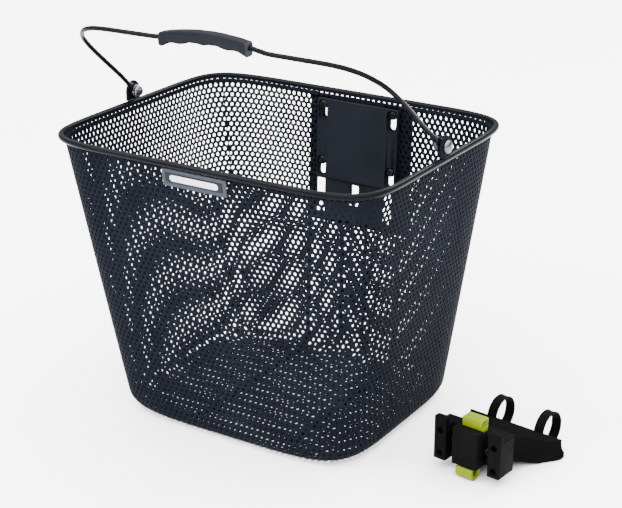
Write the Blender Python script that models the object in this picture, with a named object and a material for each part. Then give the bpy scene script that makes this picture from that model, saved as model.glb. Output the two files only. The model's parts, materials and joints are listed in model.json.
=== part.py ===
"""Handlebar basket with a swinging handle, and the loose quick-release bracket that carries it.

Units are metres, +Z is up. The origin is on the ground, under the middle of the rim. +Y points
to the back wall, which carries the mounting plates, and +X to the right of someone who looks
at the front wall. Every piece is one closed solid with its own name.
"""
import math

import bpy
from mathutils import Matrix, Quaternion, Vector

# ---------------------------------------------------------------- driving dimensions
GAP = 0.0003                # clearance that touching pieces keep

# perforated tub: a superellipse that tapers from the rim to the floor
SHEET = 0.0012              # thickness of the perforated steel
TOP_HALF = (0.173, 0.140)   # half width and half depth of the tub at the rim
LOW_HALF = (0.136, 0.1165)  # the same at the ground
TOP_SHIFT = 0.001           # how far the outline's middle lies towards the back wall, at the rim
LOW_SHIFT = 0.0115          # the same at the ground
TOP_POWER = 7.5             # superellipse exponents: the higher, the squarer
LOW_POWER = 5.1
RIM_Z = 0.286               # height of the rim bead's centre
FLOOR_FILLET = 0.018        # radius of the edge between floor and walls
PAN_HEIGHT = 0.022          # height of the floor pan's upstand
OUTLINE_STEPS = 64          # points round the outline

# rim
BEAD_RADIUS = 0.0032
BEAD_HALF = (0.175, 0.142)
HEM_HEIGHT = 0.009
HEM_SHEET = 0.0009
HEM_CLEARANCE = 0.0006      # the hem stops this far beside the inner plate

# braces: wires inside the tub that carry the load from the plates to the floor
BRACE_RADIUS = 0.0025
BRACE_X = 0.053
BRACE_TOP = 0.144
BRACE_FRONT_Y = -0.075
BRACE_BEND = 0.016
BRACE_SETBACK = 0.0018      # from the tub's inner surface to the wire
LOOP_RADIUS = 0.002
LOOP_X = 0.014
LOOP_LOW = 0.030
LOOP_BEND = 0.008
LOOP_SETBACK = 0.0008

# mounting plates, in the leaning frame of the back wall
PLATE_X = 0.006             # the plates sit this far right of the middle
INNER_SIZE = (0.094, 0.005)             # width and thickness
INNER_SPAN = (0.152, 0.2785)            # bottom and top edge, measured up the wall
PANEL_SPAN = (0.195, 0.277)             # raised middle panel
PANEL_WIDTH = 0.072
PANEL_RISE = 0.0008
OUTER_SIZE = (0.118, 0.004)
OUTER_SPAN = (0.1455, 0.2815)
PLATE_CLEARANCE = 0.00045
RAIL_WIDTH = 0.0075
RAIL_HEIGHT = 0.010
RAIL_SPAN = (0.165, 0.250)
SCREW_X = 0.0405
SCREW_LEVELS = (0.213, 0.2724)
SLOT_WIDTH = 0.006
SLOT_DROP = (0.0149, 0.0031)            # how far a slot reaches below and above its screw
RECESS_WIDTH = 0.011
RECESS_DROP = (0.0175, 0.0055)
RECESS_DEPTH = 0.0035
SIDE_WINDOW = (0.0398, 0.008, 0.1587, 0.194)    # centre, width, bottom, top
MIDDLE_WINDOW = (0.0, 0.0096, 0.171, 0.1926)
SCREW_RADIUS = 0.0025
SCREW_HEAD = (0.0045, 0.0030)           # radius and height
NUT_FLATS = 0.008
NUT_HEIGHT = 0.004

# badge, in the leaning frame of the front wall
BADGE_SIZE = (0.069, 0.0165, 0.0022)
BADGE_TOP = 0.2836
BADGE_BORDER = 0.0035
BADGE_POCKET = 0.0009

# handle pivot; the distances out from the middle are the same on both sides
PIVOT_Z = 0.2985
LUG_X = 0.17425             # inner face of the right lug
LUG_SHEET = 0.0025
LUG_RADIUS = 0.010
PIVOT_RADIUS = 0.003
EYE_SHEET = 0.0028
EYE_RADIUS = 0.0070
WASHER = (0.0062, 0.0008)
BOLT_HEAD = (0.0063, 0.0048)
LOCK_NUT = (0.010, 0.0042)  # width across flats, height

# handle, in the plane of its legs
HANDLE_LEAN = math.radians(50)          # how far the handle leans forward from upright
WIRE_RADIUS = 0.0021
WIRE_START = 0.0125         # where the round wire begins, above the pivot
HANDLE_REACH = 0.1425       # from the pivot to the straight part of the wire
HANDLE_ROUTE = (            # right half of the wire: distance out, distance from the pivot
    (0.1714, WIRE_START), (0.1702, 0.022), (0.1688, 0.036), (0.1682, 0.058), (0.1673, 0.082),
    (0.1650, 0.102), (0.1600, 0.118), (0.1495, 0.1315), (0.1350, 0.1390), (0.1180, 0.1418),
    (0.0950, HANDLE_REACH))
ARCH_ROUTE = (              # the wire's middle, which arches upward: distance out, rise
    (0.0620, 0.0004), (0.0530, 0.0014), (0.0430, 0.0032), (0.0300, 0.0050), (0.0150, 0.0063))
ARCH_TOP = 0.0068
GRIP_SHIFT = -0.0062        # the grip sits a little left of the middle
GRIP_HALF = 0.0475
GRIP_BORE = 0.0027
GRIP_THICK = 0.0062         # half thickness
GRIP_TOP = 0.0060           # crown above the wire
GRIP_LOW = 0.0062           # underside below the wire
GRIP_DROOP = (0.0006, 0.0016)           # how much lower its ends are, above and below
FINGER_WAVE = 0.0008
FINGERS = 4

# bracket, in its own frame: y = 0 is the front of the cheeks, z = 0 the ground
BRACKET_PLACE = (0.2297, -0.0450)
BRACKET_TURN = math.radians(-6.7)
CHEEK_HALF = 0.0358
CHEEK_SPAN = (0.0105, 0.0545)
SLOT_IN, SLOT_OUT = 0.0136, 0.0228      # the two slots beside the boss
SLOT_DEPTH = 0.012
FRONT_DEPTH = 0.0245
LOW_BACK = (0.0065, 0.0465)             # behind this depth the front piece is lower
BOSS_PROUD = 0.0045
BOSS_SPAN = (0.0140, 0.0505)
BUTTON_HALF = 0.0102
BUTTON_Y = (0.0075, 0.0200)
BUTTON_Z = (0.0450, 0.0585)
BUTTON_TRAVEL = 0.004
STEM_HALF = 0.006
STEM_Y = (0.0105, 0.0185)
STEM_LOW = 0.0325
SPRING_SEAT = 0.0225
SPRING_RADIUS = 0.0031
SPRING_WIRE = 0.0005
SPRING_TURNS = 5
LATCH_HALF = 0.0088
LATCH_Y = (-0.0040, 0.0110)
LATCH_TOP = 0.0128
TONGUE_HALF = 0.0070
TONGUE_Y = (0.0005, 0.0105)
TONGUE_TOP = 0.0195
POCKET_TOP = 0.0200
CHEEK_HOLE = (0.0036, 0.0045)           # radius and depth
CHEEK_HOLE_LEVELS = (0.0170, 0.0405)
CHEEK_HOLE_X = 0.0292
RAIL_X = 0.0182             # middle of the slots, and of the rails that slide into them
YOKE_ROUTE = (              # right half of the yoke's plan: half width, distance back
    (0.0300, FRONT_DEPTH + GAP), (0.0310, 0.046), (0.0400, 0.068), (0.0490, 0.081),
    (0.0510, 0.0855), (0.0510, 0.0915))
YOKE_TOP = ((0.020, 0.0465), (0.074, 0.0222))       # sloping top: distance back, height
YOKE_LOW = ((0.020, 0.0190), (0.066, 0.0006))
BAR_Y, BAR_Z = 0.1010, 0.0190           # axis of the handlebar that the bracket clamps
BAR_SEAT = 0.0161
STRAP_INNER, STRAP_OUTER = 0.0160, 0.0178
STRAP_X = 0.0260
STRAP_WIDTH = 0.0100
SMALL_SHANK = 0.002
SMALL_HEAD = (0.0035, 0.0035)
STRAP_SCREW_Y = 0.0725
JOINING_Z = 0.030
JOINING_DEPTH = 0.012

WALL_LEAN = math.atan2(TOP_SHIFT + TOP_HALF[1] - LOW_SHIFT - LOW_HALF[1], RIM_Z)
FRONT_LEAN = math.atan2(LOW_SHIFT - LOW_HALF[1] - TOP_SHIFT + TOP_HALF[1], RIM_Z)
BACK_WALL = (Matrix.Translation((PLATE_X, LOW_SHIFT + LOW_HALF[1], 0))
             @ Matrix.Rotation(-WALL_LEAN, 4, "X"))
FRONT_WALL = (Matrix.Translation((0, LOW_SHIFT - LOW_HALF[1], 0))
              @ Matrix.Rotation(FRONT_LEAN, 4, "X"))
HANDLE = Matrix.Translation((0, 0, PIVOT_Z)) @ Matrix.Rotation(HANDLE_LEAN, 4, "X")
GRIP = Matrix.Translation(HANDLE @ Vector((0, 0, HANDLE_REACH)))
BRACKET = (Matrix.Translation((*BRACKET_PLACE, 0)) @ Matrix.Rotation(BRACKET_TURN, 4, "Z"))
ALONG_X = Matrix.Rotation(math.pi / 2, 4, "Y")      # turns +Z to +X
ALONG_Y = Matrix.Rotation(-math.pi / 2, 4, "X")     # turns +Z to +Y

# ---------------------------------------------------------------- materials
PAINT = ("black_powder_coat", (0.030, 0.032, 0.040), 0.45, 0.3)
PLASTIC = ("black_plastic", (0.022, 0.022, 0.025), 0.55, 0.0)
SLATE = ("slate_plastic", (0.045, 0.050, 0.060), 0.5, 0.0)
GREY = ("badge_grey", (0.16, 0.19, 0.23), 0.45, 0.0)
DARK = ("badge_field", (0.03, 0.032, 0.036), 0.3, 0.0)
ZINC = ("zinc", (0.60, 0.61, 0.63), 0.35, 1.0)
BLACK_STEEL = ("black_steel", (0.05, 0.05, 0.055), 0.35, 0.8)
LIME = ("lime_plastic", (0.50, 0.62, 0.03), 0.4, 0.0)


def material(spec):
    name, colour, roughness, metallic = spec
    found = bpy.data.materials.get(name)
    if found:
        return found
    made = bpy.data.materials.new(name)
    made.use_nodes = True
    shader = made.node_tree.nodes["Principled BSDF"]
    shader.inputs["Base Color"].default_value = (*colour, 1)
    shader.inputs["Roughness"].default_value = roughness
    shader.inputs["Metallic"].default_value = metallic
    return made


# ---------------------------------------------------------------- mesh helpers
def add_object(name, points, faces, spec, frame=Matrix.Identity(4), smooth=False):
    mesh = bpy.data.meshes.new(name)
    mesh.from_pydata([tuple(p) for p in points], [], faces)
    mesh.update()
    if smooth:
        mesh.shade_smooth()
        mesh.set_sharp_from_angle(angle=math.radians(35))
    obj = bpy.data.objects.new(name, mesh)
    obj.matrix_world = frame
    if spec:
        obj.data.materials.append(material(spec))
    bpy.context.scene.collection.objects.link(obj)
    return obj


def skin(rings, loop=False):
    """Points and faces of a surface through rings of equal length, closed by caps or on itself."""
    size = len(rings[0])
    points = [p for ring in rings for p in ring]
    faces = []
    for k in range(len(rings) if loop else len(rings) - 1):
        low, high = k * size, (k + 1) % len(rings) * size
        for i in range(size):
            j = (i + 1) % size
            faces.append((low + i, low + j, high + j, high + i))
    if not loop:
        faces.append(tuple(reversed(range(size))))
        faces.append(tuple(range((len(rings) - 1) * size, len(rings) * size)))
    return points, faces


def merge(*parts):
    """Join several (points, faces) pairs into one."""
    points, faces = [], []
    for part_points, part_faces in parts:
        start = len(points)
        points += list(part_points)
        faces += [tuple(start + i for i in face) for face in part_faces]
    return points, faces


def prism(outline, low, high):
    """An outline in x and y, anticlockwise, extruded from low to high in z."""
    return skin([[(x, y, z) for x, y in outline] for z in (low, high)])


def block(x_span, y_span, z_span):
    (x0, x1), (y0, y1) = x_span, y_span
    return prism([(x0, y0), (x1, y0), (x1, y1), (x0, y1)], *z_span)


def circle(radius, steps, centre=(0, 0), start=0.0):
    return [(centre[0] + radius * math.cos(start + math.tau * k / steps),
             centre[1] + radius * math.sin(start + math.tau * k / steps)) for k in range(steps)]


def stadium(x, low, high, width, steps=6):
    """A slot with round ends that runs up the second axis."""
    radius = width / 2
    outline = []
    for centre, start in ((high - radius, 0), (low + radius, math.pi)):
        for k in range(steps + 1):
            angle = start + math.pi * k / steps
            outline.append((x + radius * math.cos(angle), centre + radius * math.sin(angle)))
    return outline


def upright_prism(outline, low, high):
    """An outline in x and z extruded along y from low to high."""
    points, faces = prism(outline, -high, -low)
    return [(x, -z, y) for x, y, z in points], faces


def turned(profile, steps=20):
    """A solid turned about z from (radius, z) pairs; a zero radius closes it on the axis."""
    rings = [[(r * math.cos(math.tau * k / steps), r * math.sin(math.tau * k / steps), z)
              for k in range(steps)] for r, z in profile]
    return skin(rings)


def ring_solid(outer, inner, low, high, steps=24, start=0.0, outer_steps=None):
    """A washer, nut or band about z. outer_steps makes the outside a polygon, such as a hexagon."""
    def corner(angle):
        if not outer_steps:
            return outer
        sector = math.tau / outer_steps
        return outer / math.cos((angle - start) % sector - sector / 2)
    angles = [start + math.tau * k / steps for k in range(steps)]

    def loop_at(size, z):
        return [(size(a) * math.cos(a), size(a) * math.sin(a), z) for a in angles]
    rings = [loop_at(corner, low), loop_at(corner, high),
             loop_at(lambda a: inner, high), loop_at(lambda a: inner, low)]
    return skin(rings, loop=True)


def tube(path, radius, sides=8, closed=False):
    """A round bar along a path, with flat ends or closed on itself."""
    path = [Vector(p) for p in path]
    count = len(path)
    side = None
    rings = []
    for k in range(count):
        after = path[(k + 1) % count] if closed or k < count - 1 else path[k]
        before = path[k - 1] if closed or k else path[k]
        ahead = (after - before).normalized()
        if side is None:
            side = ahead.orthogonal().normalized()
            if closed:
                side = Vector((0, 0, 1))
        side = (side - ahead * side.dot(ahead)).normalized()
        other = ahead.cross(side)
        rings.append([path[k] + radius * (math.cos(a) * side + math.sin(a) * other)
                      for a in (math.tau * i / sides for i in range(sides))])
    return skin(rings, loop=closed)


def moved(part, frame):
    points, faces = part
    return [frame @ Vector(p) for p in points], faces


def cut(target, name, *parts, frame=Matrix.Identity(4), join=False):
    """Subtract parts from target, or join them to it, with a hidden cutter."""
    cutter = add_object(name, *merge(*parts), None, frame)
    cutter.hide_render = True
    cutter.display_type = "WIRE"
    modifier = target.modifiers.new(name, "BOOLEAN")
    modifier.operation = "UNION" if join else "DIFFERENCE"
    modifier.solver = "EXACT"
    modifier.object = cutter


# ---------------------------------------------------------------- tub
def outline_at(z, inset=0.0):
    """The tub's outer outline at a height, drawn in by an inset."""
    t = z / RIM_Z
    power = LOW_POWER + (TOP_POWER - LOW_POWER) * t
    half_x, half_y = (low + (top - low) * t - inset for low, top in zip(LOW_HALF, TOP_HALF))
    middle = LOW_SHIFT + (TOP_SHIFT - LOW_SHIFT) * t
    return superellipse(half_x, half_y, power, middle, z)


def superellipse(half_x, half_y, power, middle, z):
    points = []
    for k in range(OUTLINE_STEPS):
        c, s = math.cos(math.tau * k / OUTLINE_STEPS), math.sin(math.tau * k / OUTLINE_STEPS)
        x = math.copysign(abs(c) ** (2 / power), c) if abs(c) > 1e-9 else 0.0
        y = math.copysign(abs(s) ** (2 / power), s) if abs(s) > 1e-9 else 0.0
        points.append((half_x * x, middle + half_y * y, z))
    return points


def make_wall():
    levels = [PAN_HEIGHT + GAP + (RIM_Z - BEAD_RADIUS - PAN_HEIGHT - 2 * GAP) * k / 2
              for k in range(3)]
    outside = [outline_at(z) for z in levels]
    inside = [outline_at(z, SHEET) for z in reversed(levels)]
    wall = add_object("mesh_wall", *skin(outside + inside, loop=True), PAINT)
    margin = 0.0005
    holes = []
    for x, width, low, high in window_list():
        holes.append(block((x - width / 2 - margin, x + width / 2 + margin), (-0.01, 0.01),
                           (low - margin, high + margin)))
    for x, level in screw_places():
        holes.append(upright_prism(stadium(x, level - SLOT_DROP[0] - margin,
                                           level + SLOT_DROP[1] + margin,
                                           SLOT_WIDTH + 2 * margin), -0.01, 0.01))
    cut(wall, "wall_openings", *holes, frame=BACK_WALL)


def make_floor():
    turns = [math.pi / 2 * k / 3 for k in range(4)]
    inner_fillet = FLOOR_FILLET - SHEET
    outside = [outline_at(FLOOR_FILLET * (1 - math.cos(a)), FLOOR_FILLET * (1 - math.sin(a)))
               for a in turns]
    outside.append(outline_at(PAN_HEIGHT))
    inside = [outline_at(SHEET + inner_fillet * (1 - math.cos(a)),
                         SHEET + inner_fillet * (1 - math.sin(a))) for a in turns]
    inside.append(outline_at(PAN_HEIGHT, SHEET))
    add_object("mesh_floor", *skin(outside + inside[::-1]), PAINT)


def make_rim():
    path = superellipse(*BEAD_HALF, TOP_POWER, TOP_SHIFT, RIM_Z)
    add_object("rim_bead", *tube(path, BEAD_RADIUS, 7, closed=True), PAINT, smooth=True)
    top = RIM_Z - BEAD_RADIUS - GAP
    low = top - HEM_HEIGHT
    near, far = SHEET + GAP, SHEET + GAP + HEM_SHEET
    rings = [outline_at(low, near), outline_at(top, near), outline_at(top, far),
             outline_at(low, far)]
    hem = add_object("rim_hem", *skin(rings, loop=True), PAINT)
    reach = INNER_SIZE[0] / 2 + HEM_CLEARANCE
    cut(hem, "hem_opening", block((-reach, reach), (-0.02, 0.02), (low - 0.01, top + 0.01)),
        frame=BACK_WALL)


def rounded_corner(before, corner, after, radius, steps=5):
    """Points of an arc of a radius that rounds a corner of a path."""
    before, corner, after = Vector(before), Vector(corner), Vector(after)
    to_before, to_after = (before - corner).normalized(), (after - corner).normalized()
    half = to_before.angle(to_after) / 2
    middle = corner + (to_before + to_after).normalized() * radius / math.sin(half)
    start = corner + to_before * radius / math.tan(half) - middle
    turn = start.rotation_difference(corner + to_after * radius / math.tan(half) - middle)
    return [middle + Quaternion(turn.axis, turn.angle * k / steps) @ start
            for k in range(steps + 1)]


def make_braces():
    lift = SHEET + BRACE_RADIUS + BRACE_SETBACK
    top = BACK_WALL @ Vector((0, -lift, BRACE_TOP))
    low_z = SHEET + BRACE_RADIUS + GAP
    low = BACK_WALL @ Vector((0, -lift, low_z))
    for name, x in (("brace_wire_left", PLATE_X - BRACE_X), ("brace_wire_right", PLATE_X + BRACE_X)):
        ends = [(x, top.y, top.z), (x, low.y, low_z), (x, BRACE_FRONT_Y, low_z)]
        path = [ends[0], *rounded_corner(*ends, BRACE_BEND), ends[2]]
        add_object(name, *tube(path, BRACE_RADIUS), PAINT, smooth=True)
    depth = -(SHEET + LOOP_RADIUS + LOOP_SETBACK)
    corners = [(-LOOP_X, depth, BRACE_TOP), (-LOOP_X, depth, LOOP_LOW),
               (LOOP_X, depth, LOOP_LOW), (LOOP_X, depth, BRACE_TOP)]
    path = [corners[0], *rounded_corner(*corners[:3], LOOP_BEND, 4),
            *rounded_corner(*corners[1:], LOOP_BEND, 4), corners[3]]
    add_object("brace_loop", *tube(path, LOOP_RADIUS), PAINT, BACK_WALL, smooth=True)


# ---------------------------------------------------------------- plates and badge
def window_list():
    centre, width, low, high = SIDE_WINDOW
    return [(-centre, width, low, high), MIDDLE_WINDOW, (centre, width, low, high)]


def screw_places():
    return [(side * SCREW_X, level) for level in SCREW_LEVELS for side in (-1, 1)]


def plate_holes():
    """Windows and screw slots that go right through both plates."""
    holes = [block((x - width / 2, x + width / 2), (-0.03, 0.03), (low, high))
             for x, width, low, high in window_list()]
    holes += [upright_prism(stadium(x, level - SLOT_DROP[0], level + SLOT_DROP[1], SLOT_WIDTH),
                            -0.03, 0.03) for x, level in screw_places()]
    return holes


def make_plates():
    back = -SHEET - PLATE_CLEARANCE
    face = back - INNER_SIZE[1]
    half = INNER_SIZE[0] / 2
    inner = add_object("inner_plate", *block((-half, half), (face, back), INNER_SPAN),
                       PLASTIC, BACK_WALL)
    cut(inner, "panel_form", block((-PANEL_WIDTH / 2, PANEL_WIDTH / 2),
                                   (face - PANEL_RISE, face + 0.001), PANEL_SPAN),
        frame=BACK_WALL, join=True)
    cut(inner, "inner_openings", *plate_holes(), frame=BACK_WALL)
    recesses = [upright_prism(stadium(x, level - RECESS_DROP[0], level + RECESS_DROP[1],
                                      RECESS_WIDTH), face - 0.01, face + RECESS_DEPTH)
                for x, level in screw_places()]
    cut(inner, "inner_recesses", *recesses, frame=BACK_WALL)

    base = PLATE_CLEARANCE
    outer_face = base + OUTER_SIZE[1]
    half = OUTER_SIZE[0] / 2
    outer = add_object("outer_plate", *block((-half, half), (base, outer_face), OUTER_SPAN),
                       PLASTIC, BACK_WALL)
    rails = [block((x - RAIL_WIDTH / 2, x + RAIL_WIDTH / 2),
                   (outer_face - 0.001, outer_face + RAIL_HEIGHT), RAIL_SPAN)
             for x in (-RAIL_X, RAIL_X)]
    cut(outer, "rail_form", *rails, frame=BACK_WALL, join=True)
    cut(outer, "outer_openings", *plate_holes(), frame=BACK_WALL)

    head_base = face + RECESS_DEPTH - GAP
    nut_base = outer_face + GAP
    for k, (x, level) in enumerate(screw_places(), 1):
        place = BACK_WALL @ Matrix.Translation((x, 0, level)) @ ALONG_Y
        radius, height = SCREW_HEAD
        screw = turned([(radius * 0.8, head_base - height), (radius, head_base - height * 0.7),
                        (radius, head_base), (SCREW_RADIUS, head_base),
                        (SCREW_RADIUS, nut_base + NUT_HEIGHT + 0.001)], 14)
        add_object(f"plate_screw_{k}", *screw, ZINC, place, smooth=True)
        nut = ring_solid(NUT_FLATS / 2, SCREW_RADIUS + GAP, nut_base, nut_base + NUT_HEIGHT,
                         steps=12, outer_steps=6)
        add_object(f"plate_nut_{k}", *nut, ZINC, place)


def make_badge():
    width, height, thick = BADGE_SIZE
    low = BADGE_TOP - height
    back = -GAP
    face = back - thick
    frame = add_object("badge_frame", *block((-width / 2, width / 2), (face, back),
                                             (low, BADGE_TOP)), GREY, FRONT_WALL)
    inner_x = width / 2 - BADGE_BORDER
    cut(frame, "badge_pocket", block((-inner_x, inner_x), (face - 0.01, face + BADGE_POCKET),
                                     (low + BADGE_BORDER, BADGE_TOP - BADGE_BORDER)),
        frame=FRONT_WALL)
    inlay = block((-inner_x + GAP, inner_x - GAP), (face + 0.0001, face + BADGE_POCKET - GAP),
                  (low + BADGE_BORDER + GAP, BADGE_TOP - BADGE_BORDER - GAP))
    add_object("badge_inlay", *inlay, DARK, FRONT_WALL)


# ---------------------------------------------------------------- handle
def make_pivots():
    """On each side a lug stands on the rim, and one bolt runs through lug, wire eye and nut."""
    head = LUG_X + LUG_SHEET + GAP
    washer = LUG_X - 2 * GAP - EYE_SHEET - WASHER[1]
    nut_low = washer - GAP - LOCK_NUT[1]
    foot = RIM_Z + BEAD_RADIUS + GAP - PIVOT_Z
    for side, facing in (("left", -1), ("right", 1)):
        place = Matrix.Translation((0, 0, PIVOT_Z)) @ Matrix.Rotation(facing * math.pi / 2, 4, "Y")
        arc = [(LUG_RADIUS * math.cos(math.pi * k / 12), LUG_RADIUS * math.sin(math.pi * k / 12))
               for k in range(13)]
        outline = [(-facing * z, y) for y, z in [(LUG_RADIUS, foot), *arc, (-LUG_RADIUS, foot)]]
        if facing < 0:
            outline.reverse()
        lug = add_object(f"lug_{side}", *prism(outline, LUG_X, LUG_X + LUG_SHEET), PAINT, place)
        bore = turned([(PIVOT_RADIUS + GAP, LUG_X - 0.01), (PIVOT_RADIUS + GAP, LUG_X + 0.01)], 16)
        cut(lug, f"lug_bore_{side}", bore, frame=place)
        radius, height = BOLT_HEAD
        dome = [(radius * math.cos(a), head + height * math.sin(a))
                for a in (math.radians(d) for d in (0, 25, 50, 72))]
        bolt = turned([(PIVOT_RADIUS, nut_low - 0.0007), (PIVOT_RADIUS, head), *dome,
                       (0.0006, head + height)], 16)
        add_object(f"pivot_bolt_{side}", *bolt, ZINC, place, smooth=True)
        add_object(f"pivot_washer_{side}",
                   *ring_solid(WASHER[0], PIVOT_RADIUS + GAP, washer, washer + WASHER[1], 16),
                   ZINC, place)
        nut = ring_solid(LOCK_NUT[0] / 2, PIVOT_RADIUS + GAP, nut_low, nut_low + LOCK_NUT[1], 12,
                         outer_steps=6)
        add_object(f"lock_nut_{side}", *nut, ZINC, place)


def smooth_route(points, per_span=3):
    """A Catmull-Rom curve through the route's own points."""
    points = [Vector(p) for p in points]
    ends = [2 * points[0] - points[1], *points, 2 * points[-1] - points[-2]]
    curve = []
    for k in range(1, len(ends) - 2):
        a, b, c, d = ends[k - 1:k + 3]
        for i in range(per_span):
            t = i / per_span
            curve.append(0.5 * ((2 * b) + (c - a) * t + (2 * a - 5 * b + 4 * c - d) * t ** 2
                                + (3 * b - a - 3 * c + d) * t ** 3))
    return curve + [points[-1]]


def arch_point(x, rise):
    """A point of the arched middle of the wire: the arch rises straight up, not along the legs."""
    return (x, rise * math.sin(HANDLE_LEAN), HANDLE_REACH + rise * math.cos(HANDLE_LEAN))


def arch_rise(x):
    stations = [(0.0, ARCH_TOP), *reversed(ARCH_ROUTE), (0.075, 0.0), (1.0, 0.0)]
    for (x0, rise0), (x1, rise1) in zip(stations, stations[1:]):
        if abs(x) <= x1:
            return rise0 + (rise1 - rise0) * (abs(x) - x0) / (x1 - x0)


def make_handle():
    half = smooth_route([*((x, 0, v) for x, v in HANDLE_ROUTE),
                         *(arch_point(x, rise) for x, rise in ARCH_ROUTE)], 2)
    path = [*half, Vector(arch_point(0, ARCH_TOP)),
            *(Vector((-p.x, p.y, p.z)) for p in reversed(half))]
    wire = add_object("handle_wire", *tube(path, WIRE_RADIUS, 8), PAINT, HANDLE, smooth=True)
    low = LUG_X - GAP - EYE_SHEET
    neck = WIRE_START + 0.0035
    arc = [(EYE_RADIUS * math.cos(a), EYE_RADIUS * math.sin(a))
           for a in (math.radians(d) for d in range(150, 391, 20))]
    outline = [(WIRE_RADIUS * 1.5, neck), (-WIRE_RADIUS * 1.5, neck), *arc]
    for side, facing in (("left", -1), ("right", 1)):
        span = (low, low + EYE_SHEET) if facing > 0 else (-low - EYE_SHEET, -low)
        points, faces = prism(outline, *span)
        eye = [(z, x, y) for x, y, z in points], faces
        cut(wire, f"eye_form_{side}", eye, frame=HANDLE, join=True)
        bore = moved(turned([(PIVOT_RADIUS + GAP, span[0] - 0.01),
                             (PIVOT_RADIUS + GAP, span[1] + 0.01)], 16), ALONG_X)
        cut(wire, f"eye_bore_{side}", bore, frame=HANDLE)


def make_grip(sections=20, sides=14):
    outside, bore = [], []
    for k in range(sections + 1):
        along = -1 + 2 * k / sections
        x = GRIP_SHIFT + GRIP_HALF * along
        rise = arch_rise(x)
        top = rise + GRIP_TOP - GRIP_DROOP[0] * along ** 2
        low = rise - GRIP_LOW - GRIP_DROOP[1] * along ** 2
        low -= FINGER_WAVE * math.cos(math.pi * FINGERS * along)
        middle, half = (top + low) / 2, (top - low) / 2
        end = 0.88 if k in (0, sections) else 1.0
        outer_ring, bore_ring = [], []
        for i in range(sides):
            angle = math.tau * (i + 0.5) / sides
            c, s = math.cos(angle), math.sin(angle)
            outer_ring.append((x, math.copysign(abs(c) ** 0.7, c) * GRIP_THICK * end,
                               middle + math.copysign(abs(s) ** 0.7, s) * half * end))
            bore_ring.append((x, GRIP_BORE * c, rise + GRIP_BORE * s))
        outside.append(outer_ring)
        bore.append(bore_ring)
    rings = outside + bore[::-1]
    add_object("grip", *skin(rings, loop=True), SLATE, GRIP, smooth=True)


# ---------------------------------------------------------------- bracket
def side_prism(outline, low, high):
    """An outline in y and z, anticlockwise, extruded along x from low to high."""
    points, faces = prism(outline, low, high)
    return [(z, x, y) for x, y, z in points], faces


def bores(radius, low, high, places, steps=12):
    """Cutters for round holes along y from low to high at (x, z) places."""
    return [moved(turned([(radius, low), (radius, high)], steps),
                  Matrix.Translation((x, 0, z)) @ ALONG_Y) for x, z in places]


def joining_places():
    return [(side * RAIL_X, JOINING_Z) for side in (-1, 1)]


def make_bracket_front():
    outline = [(-CHEEK_HALF, 0), (-SLOT_OUT, 0), (-SLOT_OUT, SLOT_DEPTH), (-SLOT_IN, SLOT_DEPTH),
               (-SLOT_IN, -BOSS_PROUD), (SLOT_IN, -BOSS_PROUD), (SLOT_IN, SLOT_DEPTH),
               (SLOT_OUT, SLOT_DEPTH), (SLOT_OUT, 0), (CHEEK_HALF, 0),
               (CHEEK_HALF, FRONT_DEPTH), (-CHEEK_HALF, FRONT_DEPTH)]
    front = add_object("bracket_front", *prism(outline, *CHEEK_SPAN), PLASTIC, BRACKET)
    below, above = CHEEK_SPAN[0] - 0.01, CHEEK_SPAN[1] + 0.01
    across = (-SLOT_OUT, SLOT_OUT), (-0.02, 0.04)
    cut(front, "boss_ends", block(*across, (below, BOSS_SPAN[0])),
        block(*across, (BOSS_SPAN[1], above)), frame=BRACKET)
    cut(front, "low_back", block((-0.05, 0.05), (LOW_BACK[0], 0.04), (LOW_BACK[1], above)),
        frame=BRACKET)
    slack = 0.0004
    recess = block((-BUTTON_HALF - slack, BUTTON_HALF + slack),
                   (BUTTON_Y[0] - slack, BUTTON_Y[1] + slack),
                   (BUTTON_Z[0] - BUTTON_TRAVEL - slack, above))
    cut(front, "button_recess", recess, frame=BRACKET)
    shaft = block((-STEM_HALF - slack, STEM_HALF + slack), (STEM_Y[0] - slack, STEM_Y[1] + slack),
                  (SPRING_SEAT, BUTTON_Z[0]))
    cut(front, "stem_shaft", shaft, frame=BRACKET)
    pocket = block((-TONGUE_HALF - slack, TONGUE_HALF + slack),
                   (TONGUE_Y[0] - slack, TONGUE_Y[1] + BUTTON_TRAVEL + slack),
                   (below, POCKET_TOP))
    cut(front, "latch_pocket", pocket, frame=BRACKET)
    radius, depth = CHEEK_HOLE
    cheek_places = [(side * CHEEK_HOLE_X, level) for side in (-1, 1) for level in CHEEK_HOLE_LEVELS]
    cut(front, "front_bores", *bores(radius, -0.01, depth, cheek_places),
        *bores(SMALL_SHANK + GAP, SLOT_DEPTH - 0.002, FRONT_DEPTH + 0.01, joining_places()),
        frame=BRACKET)


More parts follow.
